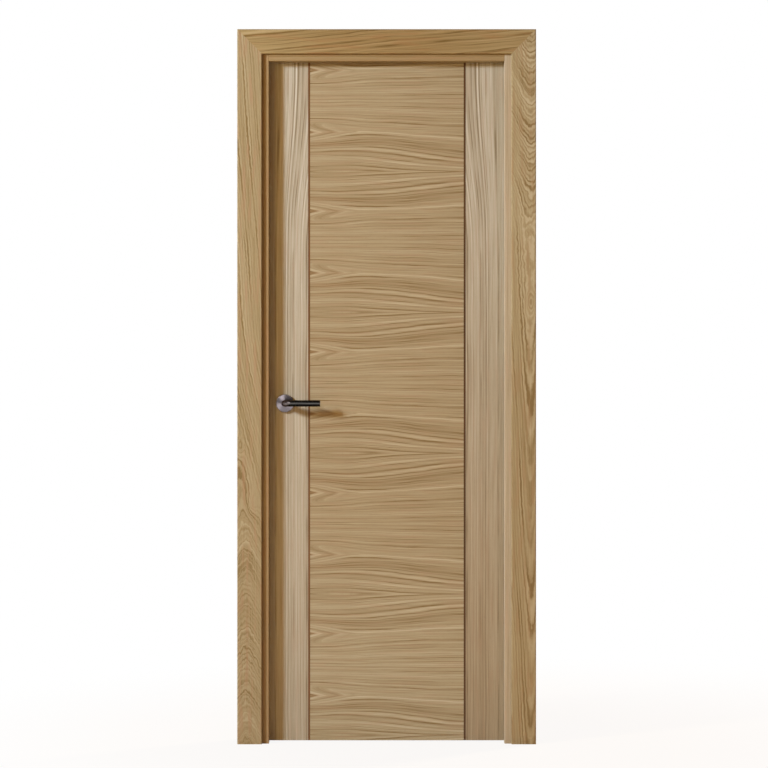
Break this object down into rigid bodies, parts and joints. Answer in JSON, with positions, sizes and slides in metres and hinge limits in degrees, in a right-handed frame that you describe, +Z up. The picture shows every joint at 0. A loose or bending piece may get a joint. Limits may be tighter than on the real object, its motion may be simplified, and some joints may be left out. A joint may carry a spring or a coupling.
{
  "type": "veneered interior door set",
  "caption": "Veneered interior door set: a flush leaf with inlaid strips and a lever set, hinged in a rebated frame with mitred architraves on both sides.",
  "frame": {"origin": "on the wall face of the hinge jamb, at floor level, halfway through the depth of the frame", "axes": "+Z up, -Y towards the viewer's side shown in the picture, +X out of the hinge jamb into its wall"},
  "size_m": [0.8826, 0.153, 2.0945],
  "materials": {
    "jamb_veneer": "oak veneer, grain upright, clear satin lacquer",
    "head_veneer": "oak veneer, grain level, clear satin lacquer",
    "architrave_veneer": "oak veneer, grain upright, clear satin lacquer",
    "architrave_head_veneer": "oak veneer, grain level, clear satin lacquer",
    "side_field_veneer": "pale oak veneer, grain upright, clear satin lacquer",
    "centre_field_veneer": "book-matched oak veneer, grain level, clear satin lacquer",
    "inlay": "dark red-brown strip",
    "lipping": "solid oak edge strip, lacquered",
    "core_board": "raw board",
    "rose_steel": "turned and brushed",
    "lever_steel": "polished bar",
    "spindle_steel": "plain drawn bar",
    "hinge_steel": "satin",
    "pin_steel": "ground",
    "latch_steel": "satin"
  },
  "bodies": {
    "frame": {"jamb_hinge_side": "jamb_veneer", "stop_hinge_side": "jamb_veneer", "jamb_lock_side": "jamb_veneer", "stop_lock_side": "jamb_veneer", "head_jamb": "head_veneer", "stop_head": "head_veneer", "architrave_front_left": "architrave_veneer", "architrave_front_right": "architrave_veneer", "architrave_front_head": "architrave_head_veneer", "architrave_back_left": "architrave_veneer", "architrave_back_right": "architrave_veneer", "architrave_back_head": "architrave_head_veneer", "hinge_frame_half_bottom": "hinge_steel", "hinge_pin_bottom": "pin_steel", "hinge_frame_half_middle": "hinge_steel", "hinge_pin_middle": "pin_steel", "hinge_frame_half_top": "hinge_steel", "hinge_pin_top": "pin_steel", "strike_plate": "latch_steel"},
    "leaf": {"leaf_core": "core_board", "lipping_lock_edge": "lipping", "lipping_hinge_edge": "lipping", "lipping_bottom_edge": "lipping", "lipping_top_edge": "lipping", "veneer_front_left": "side_field_veneer", "veneer_front_centre": "centre_field_veneer", "veneer_front_right": "side_field_veneer", "inlay_front_left": "inlay", "inlay_front_right": "inlay", "rose_front": "rose_steel", "veneer_back_left": "side_field_veneer", "veneer_back_centre": "centre_field_veneer", "veneer_back_right": "side_field_veneer", "inlay_back_left": "inlay", "inlay_back_right": "inlay", "rose_back": "rose_steel", "latch_case": "latch_steel", "latch_face_plate": "latch_steel", "latch_bolt": "latch_steel", "hinge_leaf_half_bottom": "hinge_steel", "hinge_leaf_half_middle": "hinge_steel", "hinge_leaf_half_top": "hinge_steel"},
    "lever_set": {"lever_front": "lever_steel", "lever_back": "lever_steel", "spindle": "spindle_steel", "latch_follower": "spindle_steel"}
  },
  "joints": [
    {"name": "leaf_hinge", "type": "hinge", "parent": "frame", "child": "leaf", "pos_m": [-0.0235, 0.0455, 0], "axis": [0, 0, -1], "range_deg": [0, 110]},
    {"name": "lever_turn", "type": "hinge", "parent": "leaf", "child": "lever_set", "pos_m": [-0.676, 0.0185, 0.996], "axis": [0, 1, 0], "range_deg": [0, 45], "stiffness_Nm_per_rad": 1.5, "springref_deg": -34.38}
  ]
}
